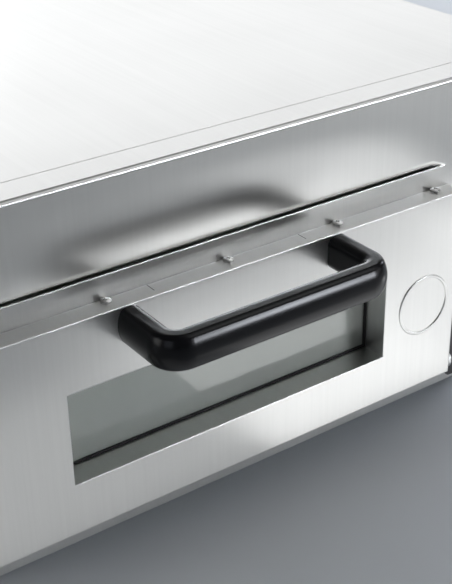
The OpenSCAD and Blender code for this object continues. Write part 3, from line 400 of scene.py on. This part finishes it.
def oxidised_sheath():
    """Sheath of the elements after many heats: dark, with greenish and brown bloom."""
    f = Finish("oxidised_sheath", Metallic=0.8)
    tree = f.tree
    bloom = cloud(tree, f.place, 60.0, 5.0, 0.65)
    f.set("Base Color", blended(tree, bloom, rgb(0.06, 0.06, 0.055), rgb(0.20, 0.17, 0.14)))
    f.set("Roughness", spread(tree, bloom, 0.3, 0.7, 0.42, 0.65))
    f.set("Normal", f.relief(cloud(tree, f.place, 900.0), 0.00005, 0.6))
    return f.material


def fibre_blanket():
    """Ceramic fibre: white, with needled tufts and loose threads."""
    f = Finish("fibre_blanket", Roughness=1.0, Specular_IOR_Level=0.1)
    tree = f.tree
    threads = cloud(tree, f.place, 1.0, 5.0, 0.7, (260, 90, 260))
    needled = add(tree, "TexVoronoi", {"Vector": f.place, "Scale": 95.0}, feature="SMOOTH_F1")
    tufts = needled.outputs["Distance"]
    f.set("Base Color", blended(tree, threads, rgb(0.70, 0.68, 0.62), rgb(0.93, 0.92, 0.88)))
    f.set("Roughness", spread(tree, threads, 0.2, 0.8, 0.9, 1.0))
    f.set("Normal", f.relief(sums(tree, "ADD", threads, tufts), 0.0012, 0.8))
    return f.material


def moulded(name, dark, light, low, high, scale=800.0, depth=0.00004, wear_tone=None, coat=0.0):
    """A moulded plastic or rubber: fine spark texture, a little wear at its edges and marks of handling."""
    f = Finish(name)
    tree = f.tree
    grain = f.use(PORES, Scale=scale)["Grain"]
    smear = f.use(WIPED_SMEARS)["Smear"]
    colour = blended(tree, grain, rgb(*dark), rgb(*light))
    if wear_tone:
        wear = f.use(WORN_EDGES, Width=0.0009)["Wear"]
        colour = blended(tree, sums(tree, "MULTIPLY", wear, 0.55), colour, rgb(*wear_tone))
    f.set("Base Color", colour)
    f.set("Roughness", spread(tree, smear, 0.0, 1.0, low, high))
    f.set("Normal", f.relief(grain, depth, 0.6))
    if coat:
        f.set("Coat Weight", coat)
        f.set("Coat Roughness", 0.06)
    return f.material


def polished_handle():
    """Thermoset grip, polished by hands: nearly black with a cold sheen."""
    f = Finish("polished_handle", Specular_IOR_Level=0.22)
    tree = f.tree
    smear = f.use(WIPED_SMEARS)["Smear"]
    flow = cloud(tree, f.place, 22.0, 3.0, 0.5, (0.4, 1, 1))
    dust = f.use(SETTLED_DUST, Amount=0.006)["Dust"]
    colour = blended(tree, flow, rgb(0.0018, 0.0020, 0.0028), rgb(0.0034, 0.0038, 0.0052))
    f.set("Base Color", blended(tree, dust, colour, rgb(0.25, 0.25, 0.25)))
    f.set("Roughness", spread(tree, smear, 0.0, 1.0, 0.21, 0.25))
    f.set("Normal", f.relief(cloud(tree, f.place, 130.0, 2.0), 0.00004, 0.3))
    return f.material


def plated(name, dark, light, low, high, scale=500.0):
    """Plated or turned metal of small fittings."""
    f = Finish(name, Metallic=1.0)
    tree = f.tree
    tone = cloud(tree, f.place, scale, 3.0, 0.6)
    dull = cloud(tree, f.place, scale / 6, 3.0, 0.6)
    f.set("Base Color", blended(tree, tone, rgb(*dark), rgb(*light)))
    f.set("Roughness", spread(tree, dull, 0.3, 0.7, low, high))
    f.set("Normal", f.relief(tone, 0.00002, 0.5))
    return f.material


def hazed_glass():
    """Toughened pane, faintly green, with the film that cooking leaves on it."""
    f = Finish("hazed_glass", Transmission_Weight=0.62, IOR=2.0, Metallic=0.0)
    tree = f.tree
    smear = f.use(WIPED_SMEARS)["Smear"]
    f.set("Base Color", blended(tree, smear, rgb(0.58, 0.62, 0.57), rgb(0.53, 0.57, 0.52)))
    f.set("Roughness", spread(tree, smear, 0.0, 1.0, 0.04, 0.09))
    return f.material


def amber_lens():
    """Lens of a pilot lamp: amber, ribbed inside so that it scatters."""
    f = Finish("amber_lens", Transmission_Weight=0.5, IOR=1.5, Coat_Weight=0.5, Coat_Roughness=0.03)
    tree = f.tree
    ribs = add(tree, "TexVoronoi", {"Vector": f.place, "Scale": 1400.0}, feature="F1").outputs["Distance"]
    f.set("Base Color", blended(tree, ribs, rgb(0.85, 0.25, 0.02), rgb(0.98, 0.50, 0.06)))
    f.set("Roughness", spread(tree, ribs, 0.0, 0.7, 0.12, 0.25))
    f.set("Normal", f.relief(ribs, 0.0002, 0.5))
    return f.material


FINISHES = {
    "housing_steel": brushed_steel("brushed_steel"),
    "inner_sheet": galvanised_sheet(),
    "chamber_steel": aluminised_sheet(),
    "panel_black": powder_black(),
    "stone": fired_stone(),
    "element_sheath": oxidised_sheath(),
    "wool": fibre_blanket(),
    "case_plastic": moulded("thermoset_cream", (0.66, 0.64, 0.58), (0.78, 0.76, 0.70), 0.35, 0.5),
    "spindle_steel": plated("zinc_plate", (0.46, 0.47, 0.48), (0.66, 0.66, 0.65), 0.30, 0.44),
    "knob_black": moulded("satin_black", (0.012, 0.012, 0.013), (0.024, 0.024, 0.026), 0.28, 0.42,
                          wear_tone=(0.10, 0.10, 0.10)),
    "copper_tube": plated("drawn_copper", (0.42, 0.20, 0.11), (0.76, 0.42, 0.27), 0.30, 0.44, 220.0),
    "switch_black": moulded("spark_black", (0.014, 0.014, 0.015), (0.030, 0.030, 0.032), 0.38, 0.5,
                            wear_tone=(0.09, 0.09, 0.09)),
    "switch_red": moulded("gloss_red", (0.50, 0.016, 0.010), (0.60, 0.028, 0.016), 0.16, 0.25, coat=0.4),
    "lamp_lens": amber_lens(),
    "foot_rubber": moulded("foot_black", (0.012, 0.012, 0.012), (0.032, 0.032, 0.031), 0.62, 0.8,
                           500.0, 0.0001),
    "screw_steel": plated("bright_plate", (0.58, 0.58, 0.57), (0.80, 0.80, 0.79), 0.15, 0.25, 900.0),
    "window_glass": hazed_glass(),
    "gasket_black": moulded("felt_black", (0.006, 0.006, 0.006), (0.022, 0.022, 0.022), 0.85, 0.98,
                            1500.0, 0.0003),
    "spacer_steel": plated("plain_strip", (0.60, 0.61, 0.62), (0.74, 0.74, 0.74), 0.30, 0.45, 300.0),
    "handle_gloss": polished_handle(),
}
BENT_STEEL = {
    "front_fascia": brushed_steel("brushed_steel_bowed", bowed=True),
    "door_skin": brushed_steel("brushed_steel_door", notch_shade=True),
}

for row in frame["record"]["subparts"]:
    piece = nodes[row["node"]]
    piece.data.materials.clear()
    piece.data.materials.append(BENT_STEEL.get(row["node"], FINISHES[row["material_slot"]]))


# ---------------------------------------------------------------- pieces that the CAD leaves to the looks
SMOOTH_BELOW = math.radians(32)


def only(piece):
    """Selects this piece alone and makes it active."""
    bpy.ops.object.select_all(action="DESELECT")
    piece.select_set(True)
    bpy.context.view_layer.objects.active = piece


def finished(piece, name, body, slot_name, *modifiers):
    """Applies the modifiers and the place, names the piece and gives it its finish and its body."""
    only(piece)
    for kind, settings in modifiers:
        made = piece.modifiers.new(kind.lower(), kind)
        for key, value in settings.items():
            setattr(made, key, value)
        bpy.ops.object.modifier_apply(modifier=made.name)
    bpy.ops.object.transform_apply(location=True, rotation=True, scale=True)
    bpy.ops.object.shade_smooth_by_angle(angle=SMOOTH_BELOW)
    piece.name = piece.data.name = name
    piece.data.materials.clear()
    piece.data.materials.append(FINISHES[slot_name])
    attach(piece, body)
    bpy.ops.object.select_all(action="DESELECT")
    return piece


def joined(parts):
    """Joins the parts into the first of them."""
    bpy.ops.object.select_all(action="DESELECT")
    for part in parts:
        part.select_set(True)
    bpy.context.view_layer.objects.active = parts[0]
    bpy.ops.object.join()
    return bpy.context.object


BEAD_PLACE = (DOOR_MID + 0.1828, DOOR_FACE, DOOR_TOP - 0.0917)
BEAD_R = 0.0265
BEAD_WIDTH = 0.0026
BEAD_HEIGHT = 0.0016
BEAD_ROUND = 0.00075


def press_round_bead():
    """Raised round bead in the door's face beside the window, left empty."""
    bpy.ops.mesh.primitive_circle_add(
        vertices=96, radius=BEAD_R, fill_type="NGON", location=BEAD_PLACE, rotation=(math.pi / 2, 0, 0)
    )
    bead = bpy.context.object
    bpy.ops.object.mode_set(mode="EDIT")
    bpy.ops.mesh.select_all(action="SELECT")
    bpy.ops.mesh.inset(thickness=BEAD_WIDTH)
    bpy.ops.mesh.delete(type="FACE")
    bpy.ops.object.mode_set(mode="OBJECT")
    return finished(
        bead, "pressed_bead", "door", "housing_steel",
        ("SOLIDIFY", {"thickness": BEAD_HEIGHT, "offset": 0.0}),
        ("BEVEL", {"width": BEAD_ROUND, "segments": 4, "limit_method": "ANGLE", "angle_limit": 0.6}),
    )


# Print on the control plate: how proud it stands, the turn of a dial, its ticks, the half widths of the oval
# that its numbers stand on, and each number with its degrees from the top
PRINT_HEIGHT = 0.00012
DIAL_TURN = math.radians(300)
LONG_TICK_EVERY = math.radians(60)
TICK_WIDTH, SHORT_TICK, LONG_TICK = 0.0008, 0.0019, 0.0032
TICK_RADIUS = 0.0236
NUMBER_SIZE = 0.0072
NUMBER_ASIDE, NUMBER_ABOVE = 0.0345, 0.0325
HEAT_MARKS = (("100", 60), ("150", 120), ("250", 240), ("300", 300))
TIME_MARKS = (("5", 60), ("10", 120), ("20", 240), ("25", 300))
HEAT_STEPS, TIME_STEPS = 20, 25


def printed_tick(width, length):
    """A short upright printed line with round ends."""
    bpy.ops.mesh.primitive_plane_add(size=1, rotation=(math.pi / 2, 0, 0))
    tick = bpy.context.object
    tick.scale = (width, length, 1)
    bpy.ops.object.transform_apply(location=False, rotation=False, scale=True)
    bpy.ops.object.mode_set(mode="EDIT")
    bpy.ops.mesh.select_all(action="SELECT")
    bpy.ops.mesh.bevel(offset=width * 0.49, segments=3, affect="VERTICES")
    bpy.ops.mesh.select_all(action="SELECT")
    bpy.ops.mesh.extrude_region_move(TRANSFORM_OT_translate={"value": (0, -PRINT_HEIGHT, 0)})
    bpy.ops.object.mode_set(mode="OBJECT")
    return tick


def printed_number(words, size):
    """A printed number, made a mesh."""
    bpy.ops.object.text_add(rotation=(math.pi / 2, 0, 0))
    writing = bpy.context.object
    writing.data.body = words
    writing.data.size = size
    writing.data.align_x, writing.data.align_y = "CENTER", "CENTER"
    writing.data.extrude = PRINT_HEIGHT / 2
    bpy.ops.object.convert(target="MESH")
    return bpy.context.object


def print_dial_marks(knob, name, marks, steps):
    """Ticks clockwise round a knob, with numbers beside four of the long ones."""
    low, high = (Vector(corner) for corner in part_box(knob))
    middle = Vector(((low.x + high.x) / 2, PLATE_FACE, (low.z + high.z) / 2))
    parts = []
    for step in range(steps + 1):
        angle = DIAL_TURN * step / steps
        turns = angle / LONG_TICK_EVERY
        length = LONG_TICK if abs(turns - round(turns)) < 0.01 else SHORT_TICK
        tick = printed_tick(TICK_WIDTH, length)
        away = Vector((math.sin(angle), 0, math.cos(angle)))
        tick.rotation_euler = (math.pi / 2, angle, 0)
        tick.location = middle + away * (TICK_RADIUS + length / 2)
        parts.append(tick)
    for words, degrees in marks:
        angle = math.radians(degrees)
        number = printed_number(words, NUMBER_SIZE)
        aside, above = math.sin(angle) * NUMBER_ASIDE, math.cos(angle) * NUMBER_ABOVE
        number.location = middle + Vector((aside, -PRINT_HEIGHT / 2, above))
        parts.append(number)
    return finished(joined(parts), name, "root", "case_plastic")


# The white insert of a knob: its width, depth and length, how far it lies behind the knob's front and above
# its middle, and its rim's width and rise
POINTER = (0.00136, 0.0040, 0.0089)
POINTER_BEHIND, POINTER_ABOVE = 0.0024, 0.0115
POINTER_RIM, POINTER_RISE = 0.0003, 0.00012


def fill_pointer(knob, name, body):
    """White insert in the slot of a knob's bar, a little below its front."""
    low, high = (Vector(corner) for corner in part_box(knob))
    place = ((low.x + high.x) / 2, low.y + POINTER_BEHIND, (low.z + high.z) / 2 + POINTER_ABOVE)
    bpy.ops.mesh.primitive_cube_add(size=1, location=place)
    insert = bpy.context.object
    insert.scale = POINTER
    bpy.ops.object.transform_apply(location=False, rotation=False, scale=True)
    bpy.ops.object.mode_set(mode="EDIT")
    bpy.ops.mesh.select_all(action="DESELECT")
    bpy.ops.object.mode_set(mode="OBJECT")
    for face in insert.data.polygons:
        face.select = face.normal.y < -0.9
    bpy.ops.object.mode_set(mode="EDIT")
    bpy.ops.mesh.select_mode(type="FACE")
    bpy.ops.mesh.inset(thickness=POINTER_RIM)
    bpy.ops.transform.translate(value=(0, -POINTER_RISE, 0))
    bpy.ops.object.mode_set(mode="OBJECT")
    return finished(insert, name, body, "case_plastic",
                    ("BEVEL", {"width": POINTER_RISE, "segments": 2, "limit_method": "ANGLE"}))


# The power switch's marks: how far each lies from its middle, the line's radius and length, the ring's radii
MARK_ABOVE = 0.0068
LINE_R, LINE_LENGTH, LINE_ROUND = 0.0005, 0.0048, 0.00018
RING_R, RING_WIRE_R = 0.0022, 0.00045


def face_point(node, x, z):
    """Where a line from the front meets a node, and which way the surface faces there."""
    mesh = nodes[node].data
    tree = BVHTree.FromPolygons([v.co for v in mesh.vertices], [p.vertices for p in mesh.polygons])
    point, normal, _, _ = tree.ray_cast(Vector((x, PLATE_FACE - 0.1, z)), Vector((0, 1, 0)))
    return point, normal


def rocker_line(point, slope):
    """The line of the side that is on, lying upright on the switch."""
    bpy.ops.mesh.primitive_cylinder_add(
        vertices=24, radius=LINE_R, depth=LINE_LENGTH, location=point, rotation=slope
    )
    line = bpy.context.object
    bpy.ops.object.mode_set(mode="EDIT")
    bpy.ops.mesh.select_all(action="SELECT")
    bpy.ops.transform.rotate(value=math.pi / 2, orient_axis="X", center_override=tuple(point))
    bpy.ops.mesh.bevel(offset=LINE_ROUND, segments=2, affect="EDGES")
    bpy.ops.object.mode_set(mode="OBJECT")
    return line


def rocker_ring(point, slope):
    """The ring of the side that is off."""
    bpy.ops.mesh.primitive_torus_add(
        major_radius=RING_R, minor_radius=RING_WIRE_R, major_segments=32, minor_segments=10,
        location=point, rotation=slope,
    )
    return bpy.context.object


def mark_rocker():
    """A line and a ring on the two faces of the power switch."""
    low, high = (Vector(corner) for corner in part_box("switch_rocker"))
    middle = (low + high) / 2
    parts = []
    for side, mark in ((1, rocker_line), (-1, rocker_ring)):
        point, normal = face_point("switch_rocker", middle.x, middle.z + side * MARK_ABOVE)
        parts.append(mark(point, normal.to_track_quat("Z", "Y").to_euler()))
    return finished(joined(parts), "rocker_marks", "rocker", "case_plastic")


press_round_bead()
for dial, marks, steps in (
    ("upper", HEAT_MARKS, HEAT_STEPS), ("lower", HEAT_MARKS, HEAT_STEPS), ("timer", TIME_MARKS, TIME_STEPS)
):
    print_dial_marks(dial + "_knob", dial + "_dial_marks", marks, steps)
    fill_pointer(dial + "_knob", dial + "_pointer", dial + "_dial")
mark_rocker()


# ---------------------------------------------------------------- studio
FLOOR_SIZE = 8
ROOM_LIGHT = 0.10


def lamp(name, place, aim, size, power, tint=(1, 1, 1), beam=math.pi):
    """A soft rectangular studio light, which the camera itself doesn't see."""
    light = bpy.data.lights.new(name, "AREA")
    light.shape = "RECTANGLE"
    light.size, light.size_y = size
    light.energy = power
    light.color = tint
    light.spread = beam
    holder = bpy.data.objects.new(name, light)
    bpy.context.scene.collection.objects.link(holder)
    holder.location = place
    aimed = Vector(aim) - Vector(place)
    holder.rotation_mode = "QUATERNION"
    holder.rotation_quaternion = aimed.to_track_quat("-Z", "Y")
    holder.visible_camera = False


def add_floor():
    """A plain pale floor."""
    bpy.ops.mesh.primitive_plane_add(size=FLOOR_SIZE, location=(0, 0, 0))
    floor = bpy.context.object
    floor.name = "floor"
    f = Finish("floor_paint", Roughness=0.8)
    tone = cloud(f.tree, f.place, 3.0, 3.0)
    f.set("Base Color", blended(f.tree, tone, rgb(0.66, 0.69, 0.71), rgb(0.69, 0.72, 0.74)))
    floor.data.materials.append(f.material)


LIGHTS_AIM = Vector((-0.05, -0.2, 0.2))
# Softboxes: angle from the front towards the right, angle above the table, size, distance, watts, tint
SOFTBOXES = (
    (-105, 12, (1.6, 1.0), 2.4, 10.0, (1.0, 1.0, 1.0)),
    (180, 12, (1.6, 1.0), 2.8, 8.0, (1.0, 1.0, 1.0)),
    (-60, 13, (1.0, 0.8), 2.2, 1.8, (0.93, 1.0, 1.15)),
    (55, 13, (1.0, 0.8), 2.2, 2.4, (1.0, 1.0, 1.0)),
    (110, 13, (1.0, 0.8), 2.2, 12.0, (0.95, 1.0, 1.12)),
    (46, 46, (1.4, 1.0), 2.2, 5.0, (1.0, 1.0, 1.0)),
    (75, 62, (1.2, 1.2), 2.2, 3.0, (0.98, 1.0, 1.02)),
    (150, 20, (2.4, 1.2), 2.4, 12.0, (0.99, 1.0, 1.02)),
)
# Lit boards lying in front of the oven: left and right ends, near and far edges, watts
BOARDS = (
    (-0.40, 0.02, -0.27, -0.48, 0.09),
    (0.00, 0.25, -0.27, -0.48, 0.19),
    (0.22, 0.47, -0.27, -0.48, 0.15),
    (0.42, 0.67, -0.27, -0.48, 0.40),
    (0.00, 0.25, -0.46, -0.74, 0.03),
    (0.22, 0.50, -0.46, -0.74, 0.11),
    (0.55, 1.00, -0.72, -1.10, 0.24),
)
BOARD_LEVEL = 0.015
# The lamp of the handle's gleam: its place, the part of the grip that it is aimed at, size, watts, tint, beam
GRID_LAMP_PLACE = Vector((1.104, -2.048, 0.506))
GRIP_PLACE = Vector((DOOR_MID, DOOR_FACE - 0.055, DOOR_TOP - 0.025))
GRID_LAMP = ((0.9, 0.36), 0.46, (0.96, 1.0, 1.08), math.radians(16))


def add_lights():
    """Sets up the softboxes and boards, and a lamp behind a grid that only draws the grip's gleam."""
    lamp("grid_lamp", GRID_LAMP_PLACE, GRIP_PLACE, *GRID_LAMP)
    for number, (side, height, size, distance, power, tint) in enumerate(SOFTBOXES, 1):
        side, height = math.radians(side), math.radians(height)
        across = Vector((math.sin(side), -math.cos(side), 0)) * math.cos(height)
        away = across + Vector((0, 0, math.sin(height)))
        lamp("softbox_%d" % number, LIGHTS_AIM + away * distance, LIGHTS_AIM, size, power, tint)
    for number, (left, right, near, far, power) in enumerate(BOARDS, 1):
        place = Vector(((left + right) / 2, (near + far) / 2, BOARD_LEVEL))
        straight_up = place + Vector((0, 0.001, 1))
        lamp("board_%d" % number, place, straight_up, (right - left, near - far), power)


add_floor()
add_lights()

world = bpy.data.worlds.new("studio")
bpy.context.scene.world = world
world.use_nodes = True
background = world.node_tree.nodes["Background"]
background.inputs["Color"].default_value = rgb(1.0, 1.0, 1.0)
background.inputs["Strength"].default_value = ROOM_LIGHT
bpy.context.scene.view_settings.view_transform = "Standard"
